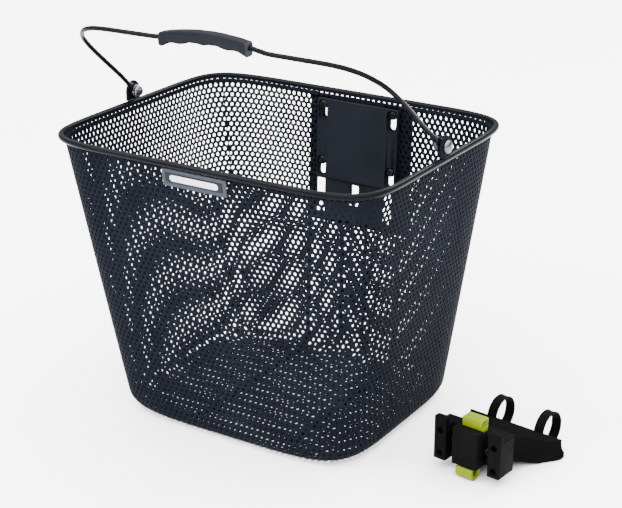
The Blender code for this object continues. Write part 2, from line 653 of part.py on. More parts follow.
def make_release():
    button = add_object("release_button",
                        *block((-BUTTON_HALF, BUTTON_HALF), BUTTON_Y, BUTTON_Z), LIME, BRACKET)
    cut(button, "stem_form", block((-STEM_HALF, STEM_HALF), STEM_Y, (STEM_LOW, BUTTON_Z[0] + 0.001)),
        frame=BRACKET, join=True)
    centre_y = sum(STEM_Y) / 2
    low = SPRING_SEAT + GAP + SPRING_WIRE
    rise = STEM_LOW - GAP - SPRING_WIRE - low
    steps = SPRING_TURNS * 9
    coil = [(SPRING_RADIUS * math.cos(math.tau * k / 9),
             centre_y + SPRING_RADIUS * math.sin(math.tau * k / 9),
             low + rise * k / steps) for k in range(steps + 1)]
    add_object("release_spring", *tube(coil, SPRING_WIRE, 5), ZINC, BRACKET)

    toe = 0.004
    side_view = [(LATCH_Y[0], toe), (LATCH_Y[0] + toe, 0.0), (LATCH_Y[1] - toe, 0.0),
                 (LATCH_Y[1], toe), (LATCH_Y[1], LATCH_TOP), (LATCH_Y[0], LATCH_TOP - 0.002)]
    latch = add_object("latch", *side_prism(side_view, -LATCH_HALF, LATCH_HALF), LIME, BRACKET)
    cut(latch, "tongue_form", block((-TONGUE_HALF, TONGUE_HALF), TONGUE_Y,
                                    (LATCH_TOP - 0.004, TONGUE_TOP)), frame=BRACKET, join=True)


def make_bracket_yoke():
    outline = [(-x, y) for x, y in YOKE_ROUTE] + [(x, y) for x, y in reversed(YOKE_ROUTE)]
    outline.reverse()
    yoke = add_object("bracket_yoke", *prism(outline, YOKE_LOW[1][1], YOKE_TOP[0][1]),
                      PLASTIC, BRACKET)
    far = YOKE_ROUTE[-1][1] + 0.01
    (top_y0, top_z0), (top_y1, top_z1) = YOKE_TOP
    (low_y0, low_z0), (low_y1, low_z1) = YOKE_LOW
    above = side_prism([(top_y0, top_z0), (top_y1, top_z1), (far, top_z1), (far, 0.06),
                        (top_y0, 0.06)], -0.06, 0.06)
    below = side_prism([(low_y0, low_z0), (low_y0, -0.01), (low_y1 + 0.001, -0.01),
                        (low_y1 + 0.0005, low_z1 - 0.0005), (low_y1, low_z1)], -0.06, 0.06)
    cut(yoke, "yoke_slopes", above, below, frame=BRACKET)

    def bar_cutter(radius, x_span, steps):
        return moved(turned([(radius, x_span[0]), (radius, x_span[1])], steps),
                     Matrix.Translation((0, BAR_Y, BAR_Z)) @ ALONG_X)
    cut(yoke, "bar_seat", bar_cutter(BAR_SEAT, (-0.06, 0.06), 40), frame=BRACKET)
    half = STRAP_WIDTH / 2 + GAP
    for side, facing in (("left", -1), ("right", 1)):
        middle = facing * STRAP_X
        cut(yoke, f"strap_groove_{side}",
            bar_cutter(STRAP_OUTER + GAP, (middle - half, middle + half), 40), frame=BRACKET)
        radius, height = SMALL_HEAD
        under = turned([(radius + GAP, -0.01), (radius + GAP, 0.001 + height + GAP),
                        (SMALL_SHANK + GAP, 0.001 + height + GAP), (SMALL_SHANK + GAP, 0.0165)], 12)
        cut(yoke, f"strap_bore_{side}", moved(under, Matrix.Translation((middle, STRAP_SCREW_Y, 0))),
            frame=BRACKET)
    cut(yoke, "yoke_bores", *bores(SMALL_SHANK + GAP, FRONT_DEPTH - 0.01,
                                   FRONT_DEPTH + JOINING_DEPTH, joining_places()), frame=BRACKET)


def small_screw(length, steps=12):
    """A cap screw along z, its head's outer face at z = 0."""
    radius, height = SMALL_HEAD
    return turned([(radius * 0.85, 0), (radius, height * 0.2), (radius, height),
                   (SMALL_SHANK, height), (SMALL_SHANK, length)], steps)


def make_bracket_fittings():
    for side, facing in (("left", -1), ("right", 1)):
        strap = ring_solid(STRAP_OUTER, STRAP_INNER, -STRAP_WIDTH / 2, STRAP_WIDTH / 2, 32)
        add_object(f"clamp_strap_{side}", *strap, PLASTIC,
                   BRACKET @ Matrix.Translation((facing * STRAP_X, BAR_Y, BAR_Z)) @ ALONG_X,
                   smooth=True)
        add_object(f"strap_screw_{side}", *small_screw(0.0145), BLACK_STEEL,
                   BRACKET @ Matrix.Translation((facing * STRAP_X, STRAP_SCREW_Y, 0.001)),
                   smooth=True)
        start = SLOT_DEPTH - GAP - SMALL_HEAD[1]
        length = FRONT_DEPTH + JOINING_DEPTH - 0.002 - start
        place = Matrix.Translation((facing * RAIL_X, start, JOINING_Z)) @ ALONG_Y
        add_object(f"joining_screw_{side}", *small_screw(length), BLACK_STEEL, BRACKET @ place,
                   smooth=True)


def main():
    for obj in list(bpy.data.objects):
        bpy.data.objects.remove(obj, do_unlink=True)
    make_wall()
    make_floor()
    make_rim()
    make_braces()
    make_plates()
    make_badge()
    make_pivots()
    make_handle()
    make_grip()
    make_bracket_front()
    make_release()
    make_bracket_yoke()
    make_bracket_fittings()


main()
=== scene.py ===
"""Looks of the handlebar basket and its loose quick-release bracket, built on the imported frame.

Metres, +Z up, the frame's own axes. The perforated sheet, wires, screws, grip and plates are made
here as finished pieces; each rides on its CAD body and stands for the CAD node of the same place.
"""
import json
import math

import bmesh
import bpy
import numpy as np
from mathutils import Matrix, Quaternion, Vector


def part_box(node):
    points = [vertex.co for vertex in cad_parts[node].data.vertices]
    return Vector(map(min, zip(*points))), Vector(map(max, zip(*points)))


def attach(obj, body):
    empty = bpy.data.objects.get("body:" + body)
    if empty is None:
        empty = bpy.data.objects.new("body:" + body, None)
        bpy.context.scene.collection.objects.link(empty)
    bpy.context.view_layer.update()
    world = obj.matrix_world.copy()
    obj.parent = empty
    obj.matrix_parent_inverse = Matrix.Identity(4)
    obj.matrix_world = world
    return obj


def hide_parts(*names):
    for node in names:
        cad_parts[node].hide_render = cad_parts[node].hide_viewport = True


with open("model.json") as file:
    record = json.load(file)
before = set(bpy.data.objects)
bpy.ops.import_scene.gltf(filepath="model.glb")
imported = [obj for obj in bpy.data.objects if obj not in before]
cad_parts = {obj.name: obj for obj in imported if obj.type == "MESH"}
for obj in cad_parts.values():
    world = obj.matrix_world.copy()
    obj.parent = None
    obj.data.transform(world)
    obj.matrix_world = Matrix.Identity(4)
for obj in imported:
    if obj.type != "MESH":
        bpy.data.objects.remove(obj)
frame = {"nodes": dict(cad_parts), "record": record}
NODES = frame["nodes"]
BODY_OF = {node: body for body, nodes in frame["record"]["behaviour"]["bodies"].items()
           for node in nodes}
SLOT_OF = {part["node"]: part["material_slot"] for part in frame["record"]["subparts"]}
GAP = 0.0003                # between neighbouring pieces

# ---------------------------------------------------------------- sizes shared with the CAD
SHEET = 0.0012              # thickness of the perforated sheet
TOP_HALF, LOW_HALF = (0.173, 0.140), (0.136, 0.1165)
TOP_SHIFT, LOW_SHIFT = 0.001, 0.0115
TOP_POWER, LOW_POWER = 7.5, 5.1
RIM_Z = 0.286
FLOOR_FILLET = 0.018
PAN_HEIGHT = 0.022
WALL_SPAN = (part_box("mesh_wall")[0].z, RIM_Z - 0.0008)   # the sheet ends inside the bead
HEM_SPAN = (0.2797, 0.2838)
BEAD_HALF = (0.175, 0.142)
BEAD_RADIUS = 0.0031

PLATE_X = 0.006
WALL_LEAN = math.atan2(TOP_SHIFT + TOP_HALF[1] - LOW_SHIFT - LOW_HALF[1], RIM_Z)
FRONT_LEAN = math.atan2(LOW_SHIFT - LOW_HALF[1] - TOP_SHIFT + TOP_HALF[1], RIM_Z)
BACK_WALL = (Matrix.Translation((PLATE_X, LOW_SHIFT + LOW_HALF[1], 0))
             @ Matrix.Rotation(-WALL_LEAN, 4, "X"))
FRONT_WALL = (Matrix.Translation((0, LOW_SHIFT - LOW_HALF[1], 0))
              @ Matrix.Rotation(FRONT_LEAN, 4, "X"))
PLATE_HALF = 0.047
SCREW_X = 0.0405
SCREW_LEVELS = (0.213, 0.2724)
WINDOWS = ((-0.0398, 0.008, 0.1587, 0.194), (0.0, 0.0096, 0.171, 0.1926),
           (0.0398, 0.008, 0.1587, 0.194))      # centre, width, bottom, top
SLOT_WIDTH = 0.006
SLOT_LOW, SLOT_MIDDLE, SLOT_HIGH = -0.0149, -0.0052, 0.0031     # levels from a screw's axis
SLOTS = tuple((side * SCREW_X, SLOT_WIDTH, level + SLOT_LOW, level + SLOT_HIGH)
              for level in SCREW_LEVELS for side in (-1, 1))
FLARED_SLOTS = tuple((side * SCREW_X, SLOT_WIDTH, level + SLOT_LOW, level + SLOT_MIDDLE)
                     for side, level in ((1, SCREW_LEVELS[1]), (-1, SCREW_LEVELS[0]),
                                         (1, SCREW_LEVELS[0])))     # lower parts of three slots
FLARE_DEPTHS = (-0.0084, 0.0110)    # the mouth and the deep end of a flared cutter
FLARE_LEFT, FLARE_DOWN = 0.010788, 0.00696      # how much further its deep end reaches
MESH_SPREAD = 0.00372       # how much wider the mesh opens behind a window
PLATE_GAP, INNER_PLATE, OUTER_PLATE = 0.00045, 0.005, 0.004     # gap to the sheet, thicknesses
HEAD_SEAT = 0.0035          # depth of the plate screws' seats in the inner plate
BRACE_X, BRACE_RADIUS, BRACE_BEND, BRACE_TOP = 0.053, 0.00245, 0.016, 0.144
LOOP_REACH, LOOP_RADIUS, LOOP_BEND, LOOP_LOW = 0.014, 0.00196, 0.008, 0.030
BADGE_TOP, BADGE_TALL, BADGE_BORDER = 0.2836, 0.0165, 0.0035
LUG_FACE = 0.17425          # inner faces of the pivot lugs, from the middle
LUG_SHEET, EYE_SHEET, WASHER_SHEET = 0.0025, 0.0028, 0.0008     # thicknesses

PIVOT_Z = sum(corner.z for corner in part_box("pivot_washer_left")) / 2
HANDLE_LEAN = math.radians(50)
HANDLE_REACH = 0.1425
HANDLE = Matrix.Translation((0, 0, PIVOT_Z)) @ Matrix.Rotation(HANDLE_LEAN, 4, "X")
GRIP = Matrix.Translation(HANDLE @ Vector((0, 0, HANDLE_REACH)))
BRACKET = Matrix.Translation((0.2297, -0.0450, 0)) @ Matrix.Rotation(math.radians(-6.7), 4, "Z")
ALONG_X = Matrix.Rotation(math.pi / 2, 4, "Y")      # turns +Z to +X
ALONG_Y = Matrix.Rotation(-math.pi / 2, 4, "X")     # turns +Z to +Y

# ---------------------------------------------------------------- perforation
PITCH = 0.00617             # between holes in a row
ROWS = 50                   # rows of holes up the wall
PAN_ROWS = 6                # rows over the floor's rounded edge
HOLE = (0.00172, 0.00208)   # half width and half height of a hole
BRIDGE = 0.00042            # metal left beside a hole at a patch's border
CELL_POINTS = 12            # round a cell's border, and round its hole

# ---------------------------------------------------------------- materials
def socket(tree, kind, **inputs):
    """A new node with its inputs set to values or joined to other nodes' outputs."""
    made = tree.nodes.new(kind)
    for name, value in inputs.items():
        place = made.inputs[name.replace("_", " ")]
        if isinstance(value, bpy.types.NodeSocket):
            tree.links.new(value, place)
        else:
            place.default_value = value
    return made


def spread(tree, value, low, high, source=(0.3, 0.7)):
    """Maps a noise value to a range."""
    made = socket(tree, "ShaderNodeMapRange", Value=value)
    for index, number in enumerate((*source, low, high), 1):
        made.inputs[index].default_value = number
    return made.outputs["Result"]


def blend_colours(tree, factor, low, high):
    made = tree.nodes.new("ShaderNodeMix")
    made.data_type = "RGBA"
    tree.links.new(factor, made.inputs["Factor"])
    for index, value in ((6, low), (7, high)):
        if isinstance(value, bpy.types.NodeSocket):
            tree.links.new(value, made.inputs[index])
        else:
            made.inputs[index].default_value = (*value, 1)
    return made.outputs[2]


def finish_of(name, colour, tint, scuffed_highlight_colour, roughness, grain, relief, metallic=0.0, stretch=(1, 1, 1),
              scuff_and_highlight_share=0.5, gloss=0.5):
    """A moulded, coated or plated surface.

    colour drifts to tint in soft clouds; convex edges, found by pointiness, lighten towards a
    paler edge colour by the share given, a painted highlight along the edges with slight rubbed
    wear;
    grain is the size of the finest relief and relief its depth, stretch draws the grain out into
    a brushed lay, and gloss is the specular level.
    """
    made = bpy.data.materials.new(name)
    made.use_nodes = True
    tree = made.node_tree
    shader = tree.nodes["Principled BSDF"]
    place = tree.nodes.new("ShaderNodeTexCoord").outputs["Object"]
    laid = socket(tree, "ShaderNodeMapping", Vector=place, Scale=stretch).outputs["Vector"]
    fine = socket(tree, "ShaderNodeTexNoise", Vector=laid, Scale=1 / grain, Detail=3.0,
                  Roughness=0.6).outputs["Fac"]
    middle = socket(tree, "ShaderNodeTexNoise", Vector=place, Scale=160.0,
                    Detail=4.0).outputs["Fac"]
    cloud = socket(tree, "ShaderNodeTexNoise", Vector=place, Scale=26.0,
                   Detail=2.0).outputs["Fac"]
    base = blend_colours(tree, spread(tree, cloud, 0, 1), colour, tint)
    # Painted highlight with slight rubbed wear: convex edges, by pointiness, lighten towards the
    # paler edge colour.
    point = tree.nodes.new("ShaderNodeNewGeometry").outputs["Pointiness"]
    edge = socket(tree, "ShaderNodeMath", Value=spread(tree, point, 0, scuff_and_highlight_share, (0.53, 0.62)))
    edge.operation = "MULTIPLY"
    tree.links.new(spread(tree, middle, 0.2, 1.0), edge.inputs[1])
    scuffed_and_highlighted = blend_colours(tree, edge.outputs["Value"], base, scuffed_highlight_colour)
    tree.links.new(scuffed_and_highlighted, shader.inputs["Base Color"])
    tree.links.new(spread(tree, middle, roughness - 0.07, roughness + 0.07),
                   shader.inputs["Roughness"])
    bump = socket(tree, "ShaderNodeBump", Height=fine, Distance=relief, Strength=0.6)
    tree.links.new(bump.outputs["Normal"], shader.inputs["Normal"])
    shader.inputs["Metallic"].default_value = metallic
    shader.inputs["Specular IOR Level"].default_value = gloss
    return made


PAINT = finish_of("powder_coat_black", (0.0030, 0.0037, 0.0058), (0.0046, 0.0056, 0.0084),
                  (0.010, 0.012, 0.016), 0.45, 0.0005, 0.00006, scuff_and_highlight_share=0.4, gloss=0.003)
WIRE = finish_of("powder_coat_satin", (0.0020, 0.0023, 0.0032), (0.0030, 0.0035, 0.0048),
                 (0.010, 0.011, 0.014), 0.20, 0.0005, 0.00004, scuff_and_highlight_share=0.4, gloss=0.022)
PLASTIC = finish_of("moulded_black", (0.0020, 0.0020, 0.0021), (0.0030, 0.0030, 0.0032),
                    (0.012, 0.012, 0.013), 0.42, 0.00035, 0.00005, scuff_and_highlight_share=0.0, gloss=0.004)
MATT = finish_of("moulded_black_matt", (0.0022, 0.0022, 0.0023), (0.0032, 0.0032, 0.0034),
                 (0.010, 0.010, 0.011), 0.55, 0.00035, 0.00005, scuff_and_highlight_share=0.0, gloss=0.0)
PANEL = finish_of("moulded_charcoal", (0.0058, 0.0066, 0.0090), (0.0072, 0.0082, 0.0110),
                  (0.016, 0.018, 0.023), 0.50, 0.00035, 0.00005, scuff_and_highlight_share=0.0, gloss=0.01)
SLATE = finish_of("grip_slate", (0.0050, 0.0058, 0.0076), (0.0066, 0.0076, 0.0096),
                  (0.040, 0.044, 0.054), 0.46, 0.0006, 0.00007, scuff_and_highlight_share=0.8, gloss=0.02)
# A darker copy of the grip's finish for its top faces: painted shade.
PAINTED_SHADE_TOP = finish_of("grip_painted_shade_top", (0.0022, 0.0025, 0.0033), (0.0036, 0.0040, 0.0050),
                 (0.040, 0.043, 0.052), 0.34, 0.0006, 0.00004, scuff_and_highlight_share=0.8, gloss=0.02)
GREY = finish_of("badge_blue_grey", (0.015, 0.019, 0.026), (0.020, 0.025, 0.033),
                 (0.06, 0.07, 0.09), 0.40, 0.0004, 0.00004, metallic=0.2, scuff_and_highlight_share=0.8, gloss=0.08)
FIELD = finish_of("badge_dark", (0.005, 0.0055, 0.007), (0.007, 0.0075, 0.0095),
                  (0.012, 0.012, 0.015), 0.35, 0.0005, 0.00003, gloss=0.05)
REFLEX = finish_of("badge_reflective", (0.44, 0.455, 0.47), (0.50, 0.515, 0.53),
                   (0.75, 0.75, 0.75), 0.32, 0.0007, 0.00006)
ZINC = finish_of("zinc_plate", (0.075, 0.078, 0.085), (0.12, 0.124, 0.132), (0.30, 0.30, 0.32),
                 0.34, 0.0004, 0.00003, metallic=1.0, stretch=(1, 1, 0.2), scuff_and_highlight_share=0.8)
DARK_ZINC = finish_of("dark_zinc", (0.010, 0.0105, 0.012), (0.018, 0.019, 0.021),
                      (0.10, 0.10, 0.11), 0.36, 0.0004, 0.00003, metallic=1.0, scuff_and_highlight_share=0.9)
NYLON = finish_of("nylon_ring", (0.03, 0.032, 0.036), (0.045, 0.047, 0.053), (0.08, 0.084, 0.09),
                  0.45, 0.0005, 0.00004, gloss=0.1)
BLACK_STEEL = finish_of("black_oxide", (0.010, 0.010, 0.012), (0.016, 0.016, 0.018),
                        (0.06, 0.06, 0.07), 0.33, 0.0004, 0.00004, metallic=0.8, scuff_and_highlight_share=0.8)
LIME = finish_of("moulded_lime", (0.090, 0.120, 0.0001), (0.112, 0.146, 0.0003),
                 (0.20, 0.25, 0.004), 0.38, 0.0005, 0.00004, scuff_and_highlight_share=0.6, gloss=0.05)
FINISHES = {"powder_coat": PAINT, "black_plastic": PLASTIC, "slate_plastic": SLATE,
            "badge_grey": GREY, "badge_field": FIELD, "zinc": ZINC, "black_steel": BLACK_STEEL,
            "lime_plastic": LIME}


# ---------------------------------------------------------------- mesh helpers
def add_piece(name, points, faces, node, materials=None, place=Matrix.Identity(4), angle=35,
              indices=None):
    """A new piece in the frame that rides on the node's body and stands for the node."""
    mesh = bpy.data.meshes.new(name)
    mesh.from_pydata([tuple(p) for p in points], [], faces)
    mesh.update()
    obj = bpy.data.objects.new(name, mesh)
    bpy.context.scene.collection.objects.link(obj)
    mesh.transform(place)
    return dress(obj, node, materials, angle, indices)


def dress(obj, node, materials=None, angle=35, indices=None):
    obj.data.shade_smooth()
    obj.data.set_sharp_from_angle(angle=math.radians(angle))
    obj.data.materials.clear()
    for made in materials or [FINISHES[SLOT_OF[node]]]:
        obj.data.materials.append(made)
    if indices is not None:
        obj.data.polygons.foreach_set("material_index", np.array(indices, np.int32))
    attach(obj, BODY_OF[node])
    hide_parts(node)
    return obj


def skin(rings, loop=False, closed=True):
    """Points and faces through rings of equal length, capped, or closed on itself."""
    size = len(rings[0])
    points = [p for ring in rings for p in ring]
    faces = []
    for k in range(len(rings) if loop else len(rings) - 1):
        low, high = k * size, (k + 1) % len(rings) * size
        for i in range(size):
            j = (i + 1) % size
            faces.append((low + i, low + j, high + j, high + i))
    if not loop and closed:
        faces.append(tuple(reversed(range(size))))
        faces.append(tuple(range((len(rings) - 1) * size, len(rings) * size)))
    return points, faces


def merge(*parts):
    points, faces = [], []
    for part_points, part_faces in parts:
        start = len(points)
        points += list(part_points)
        faces += [tuple(start + i for i in face) for face in part_faces]
    return points, faces


def moved(part, place):
    points, faces = part
    return [place @ Vector(p) for p in points], faces


def turned(profile, steps=40, loop=False):
    """A solid turned about z from (radius, z) pairs."""
    rings = [[(r * math.cos(math.tau * k / steps), r * math.sin(math.tau * k / steps), z)
              for k in range(steps)] for r, z in profile]
    return skin(rings, loop=loop)


def sided(profile, across, steps=48, sides=6, loop=False):
    """A turned solid whose radius is also held inside a polygon of a width across its flats."""
    rings = []
    for radius, z in profile:
        ring = []
        for k in range(steps):
            angle = math.tau * k / steps
            sector = math.tau / sides
            flat = across / 2 / math.cos(angle % sector - sector / 2)
            size = min(radius, flat)
            ring.append((size * math.cos(angle), size * math.sin(angle), z))
        rings.append(ring)
    return skin(rings, loop=loop)


def tube(path, radius, sides=16, closed=False, flatten=None):
    """A round bar along a path. flatten gives each ring's own two half widths."""
    path = [Vector(p) for p in path]
    count = len(path)
    side = None
    rings = []
    for k in range(count):
        after = path[(k + 1) % count] if closed or k < count - 1 else path[k]
        before = path[k - 1] if closed or k else path[k]
        ahead = (after - before).normalized()
        if side is None:
            side = Vector((0, 0, 1)) if closed else ahead.cross(Vector((0, 1, 0))).normalized()
        side = (side - ahead * side.dot(ahead)).normalized()
        other = ahead.cross(side)
        near, far = flatten[k] if flatten else (radius, radius)
        rings.append([path[k] + near * math.cos(a) * side + far * math.sin(a) * other
                      for a in (math.tau * i / sides for i in range(sides))])
    return skin(rings, loop=closed)


def smooth_route(points, per_span=8):
    """A Catmull-Rom curve through a route's own points."""
    points = [Vector(p) for p in points]
    ends = [2 * points[0] - points[1], *points, 2 * points[-1] - points[-2]]
    curve = []
    for k in range(1, len(ends) - 2):
        a, b, c, d = ends[k - 1:k + 3]
        for i in range(per_span):
            t = i / per_span
            curve.append(0.5 * ((2 * b) + (c - a) * t + (2 * a - 5 * b + 4 * c - d) * t ** 2
                                + (3 * b - a - 3 * c + d) * t ** 3))
    return curve + [points[-1]]


def rounded_corner(before, corner, after, radius, steps=12):
    before, corner, after = Vector(before), Vector(corner), Vector(after)
    to_before, to_after = (before - corner).normalized(), (after - corner).normalized()
    half = to_before.angle(to_after) / 2
    middle = corner + (to_before + to_after).normalized() * radius / math.sin(half)
    start = corner + to_before * radius / math.tan(half) - middle
    turn = start.rotation_difference(corner + to_after * radius / math.tan(half) - middle)
    return [middle + Quaternion(turn.axis, turn.angle * k / steps) @ start
            for k in range(steps + 1)]


def block(x_span, y_span, z_span):
    (x0, x1), (y0, y1) = x_span, y_span
    return skin([[(x0, y0, z), (x1, y0, z), (x1, y1, z), (x0, y1, z)] for z in z_span])


def side_prism(outline, low, high):
    """An outline in y and z, anticlockwise, extruded along x."""
    return skin([[(x, y, z) for y, z in outline] for x in (low, high)])


def softened(node, width, segments=3, weight=None, cuts=(), place=Matrix.Identity(4),
             materials=None, angle=35):
    """A CAD piece with cuts taken out of it and its edges rounded.

    weight(point, along) gives the share of the width that an edge takes, from its middle and
    direction in the frame called place.
    """
    bm = bmesh.new()
    bm.from_mesh(NODES[node].data)
    bmesh.ops.remove_doubles(bm, verts=bm.verts, dist=3e-6)
    bmesh.ops.dissolve_limit(bm, angle_limit=math.radians(1.5), verts=bm.verts, edges=bm.edges)
    mesh = bpy.data.meshes.new("fine_" + node)
    bm.to_mesh(mesh)
    bm.free()
    obj = bpy.data.objects.new("fine_" + node, mesh)
    bpy.context.scene.collection.objects.link(obj)
    if cuts:
        carve(obj, cuts, place)
    if weight:
        weigh_edges(obj.data, weight, place.inverted())
    bevel = obj.modifiers.new("rounded", "BEVEL")
    bevel.width = width
    bevel.segments = segments
    bevel.limit_method = "WEIGHT" if weight else "ANGLE"
    bevel.angle_limit = math.radians(36)
    bevel.use_clamp_overlap = not weight
    bake(obj)
    return dress(obj, node, materials, angle)


def weigh_edges(mesh, weight, inverse):
    """Bevel weights for the sharp edges only."""
    bm = bmesh.new()
    bm.from_mesh(mesh)
    layer = bm.edges.layers.float.new("bevel_weight_edge")
    for edge in bm.edges:
        if len(edge.link_faces) != 2 or edge.calc_face_angle(0) < math.radians(36):
            continue
        ends = [inverse @ v.co for v in edge.verts]
        if (ends[1] - ends[0]).length < 0.004:
            continue
        edge[layer] = weight((ends[0] + ends[1]) / 2, (ends[1] - ends[0]).normalized())
    bm.to_mesh(mesh)
    bm.free()


def carve(obj, cuts, place):
    """Takes each cut out of a piece in turn."""
    cutters = []
    for points, faces in cuts:
        mesh = bpy.data.meshes.new("cutter")
        mesh.from_pydata([tuple(place @ Vector(p)) for p in points], [], faces)
        cutter = bpy.data.objects.new("cutter", mesh)
        bpy.context.scene.collection.objects.link(cutter)
        modifier = obj.modifiers.new("carve", "BOOLEAN")
        modifier.operation = "DIFFERENCE"
        modifier.solver = "EXACT"
        modifier.object = cutter
        cutters.append(cutter)
    bake(obj)
    for cutter in cutters:
        bpy.data.objects.remove(cutter)


def bake(obj):
    """Turns what the modifiers make into the piece's own mesh."""
    graph = bpy.context.evaluated_depsgraph_get()
    mesh = bpy.data.meshes.new_from_object(obj.evaluated_get(graph))
    obj.modifiers.clear()
    obj.data = mesh


# ---------------------------------------------------------------- the perforated tub
def outline_point(wall, w, z, inset):
    """Points of the tub's surface on one wall; w runs along it as a share of its half width."""
    t = z / RIM_Z
    power = LOW_POWER + (TOP_POWER - LOW_POWER) * t
    half_x = LOW_HALF[0] + (TOP_HALF[0] - LOW_HALF[0]) * t - inset
    half_y = LOW_HALF[1] + (TOP_HALF[1] - LOW_HALF[1]) * t - inset
    middle = LOW_SHIFT + (TOP_SHIFT - LOW_SHIFT) * t
    across = (1 - np.abs(w) ** power) ** (1 / power)
    x, y = {"front": (w, -across), "right": (across, w),
            "back": (-w, across), "left": (-across, -w)}[wall]
    return np.stack([x * half_x, middle + y * half_y, z], -1)


def corner_share(z):
    """Where on a wall its corner's middle is, as a share of the half width."""
    return 0.5 ** (1 / (LOW_POWER + (TOP_POWER - LOW_POWER) * z / RIM_Z))


def wall_profile(v, depth):
    """Height and inset of the sheet at a distance up the wall; depth 0 outside, 1 inside."""
    return v, np.full_like(v, SHEET * depth)


def pan_profile(v, depth):
    """The same up the floor's rounded edge, from the flat floor to the wall."""
    arc = FLOOR_FILLET * math.pi / 2
    angle = np.minimum(v, arc) / FLOOR_FILLET
    radius = FLOOR_FILLET - SHEET * depth
    rise = np.maximum(v - arc, 0)
    height = SHEET * depth + radius * (1 - np.cos(angle)) + rise
    return height, SHEET * depth + radius * (1 - np.sin(angle))


class Patch:
    """One wall's strip of sheet, measured along its curve and up its profile."""
    LEVELS, STEPS = 60, 500     # rows and columns of the table from distance to share

    def __init__(self, wall, profile, low, high, rows):
        self.wall, self.profile, self.low, self.high, self.rows = wall, profile, low, high, rows
        self.row = (high - low) / rows
        self.levels = np.linspace(low, high, self.LEVELS)
        share = np.linspace(0, 1, self.STEPS)
        reach, table = [], []
        for v in self.levels:
            z, inset = (float(a) for a in profile(np.array(v), 0))
            points = outline_point(wall, share * corner_share(z), np.full(self.STEPS, z), inset)
            steps = np.linalg.norm(np.diff(points, axis=0), axis=1)
            length = np.concatenate([[0], np.cumsum(steps)])
            reach.append(length[-1])
            table.append(np.interp(share * length[-1], length, share))
        self.reaches, self.table = np.array(reach), np.array(table)

    def reach(self, v):
        return np.interp(v, self.levels, self.reaches)

    def locate(self, s, v, depth):
        """The sheet's points at distances s along and v up."""
        v = np.clip(v, self.low, self.high)
        share = np.clip(np.abs(s) / self.reach(v), 0, 1) * (self.STEPS - 1)
        level = (v - self.low) / (self.high - self.low) * (self.LEVELS - 1)
        i = np.minimum(level.astype(int), self.LEVELS - 2)
        j = np.minimum(share.astype(int), self.STEPS - 2)
        a, b = level - i, share - j
        near = self.table[i, j] * (1 - b) + self.table[i, j + 1] * b
        far = self.table[i + 1, j] * (1 - b) + self.table[i + 1, j + 1] * b
        z, inset = self.profile(v, depth)
        z0, _ = self.profile(v, 0)
        w = np.sign(s) * (near * (1 - a) + far * a) * corner_share(z0)
        return outline_point(self.wall, w, z, inset)


def cell_rim():
    """A cell's border in quarters of a pitch and sixths of a row, anticlockwise from its top."""
    corners = [(0, 4), (-2, 2), (-2, -2), (0, -4), (2, -2), (2, 2)]
    rim = []
    for (x0, y0), (x1, y1) in zip(corners, corners[1:] + corners[:1]):
        rim += [(x0, y0), ((x0 + x1) // 2, (y0 + y1) // 2)]
    return np.array(rim)


def sheet_mesh(cells, holes, outer, inner):
    """Points and faces of a sheet of hexagonal cells.

    cells are (column, row) centres in quarters and sixths; holes hold each cell's hole as
    centre and half sizes, zero for none; outer and inner give a surface's points.
    """
    rim = cells[:, None, :] + cell_rim()[None]
    keys, index = np.unique(rim.reshape(-1, 2), axis=0, return_inverse=True)
    index = index.reshape(-1, CELL_POINTS)
    open_cells = holes[:, 2] > 0
    angles = math.pi / 2 + math.tau * np.arange(CELL_POINTS) / CELL_POINTS
    around = np.stack([np.cos(angles), np.sin(angles)], -1)
    ring = holes[open_cells, None, :2] + around[None] * holes[open_cells, None, 2:]
    ring = ring.reshape(-1, 2)
    count = len(keys) + len(ring)
    points = np.concatenate([outer(keys, ring), inner(keys, ring)])
    rim_ids = index[open_cells]
    hole_ids = len(keys) + np.arange(len(ring)).reshape(-1, CELL_POINTS)
    rim_next, hole_next = np.roll(rim_ids, -1, 1), np.roll(hole_ids, -1, 1)
    face = np.stack([rim_ids, rim_next, hole_next, hole_ids], -1).reshape(-1, 4)
    bore = np.stack([hole_ids, hole_next, hole_next + count, hole_ids + count],
                    -1).reshape(-1, 4)
    edges = np.stack([index, np.roll(index, -1, 1)], -1).reshape(-1, 2)
    code = np.sort(edges, 1) @ np.array([len(keys), 1])
    _, first, uses = np.unique(code, return_index=True, return_counts=True)
    border = edges[first[uses == 1]]
    brink = np.stack([border[:, 1], border[:, 0], border[:, 0] + count, border[:, 1] + count], -1)
    quads = np.concatenate([face, face[:, ::-1] + count, bore, brink]).tolist()
    plain = index[~open_cells]
    return points, quads + plain.tolist() + (plain[:, ::-1] + count).tolist()


def wall_cells(patch, parity, openings):
    """The cells of a patch and their holes, squeezed where the patch's border cuts them."""
    cells, holes = [], []
    for j in range(patch.rows):
        v = patch.low + (j + 0.5) * patch.row
        reach = float(patch.reach(np.array(v)))
        most = int(reach / PITCH) + 2
        for i in range(-most, most + 1):
            s = (i + 0.5 * ((j + parity) % 2)) * PITCH
            if abs(s) - PITCH / 2 >= reach - 0.0004:
                continue
            if any(abs(s - x) < width / 2 + PITCH / 2 and low - patch.row * 0.6 < v
                   < high + patch.row * 0.6 for x, width, low, high in openings):
                continue
            cells.append((round(4 * s / PITCH), 6 * j + 3))
            low, high = max(s - HOLE[0], BRIDGE - reach), min(s + HOLE[0], reach - BRIDGE)
            half = (high - low) / 2
            if half < 0.16 * HOLE[0]:
                holes.append((s, v, 0, 0))
            else:
                tall = min(HOLE[1], patch.row / 2 - 0.0002)
                holes.append(((low + high) / 2, v, half, tall * min(1, 0.4 + half / HOLE[0])))
    return np.array(cells), np.array(holes)


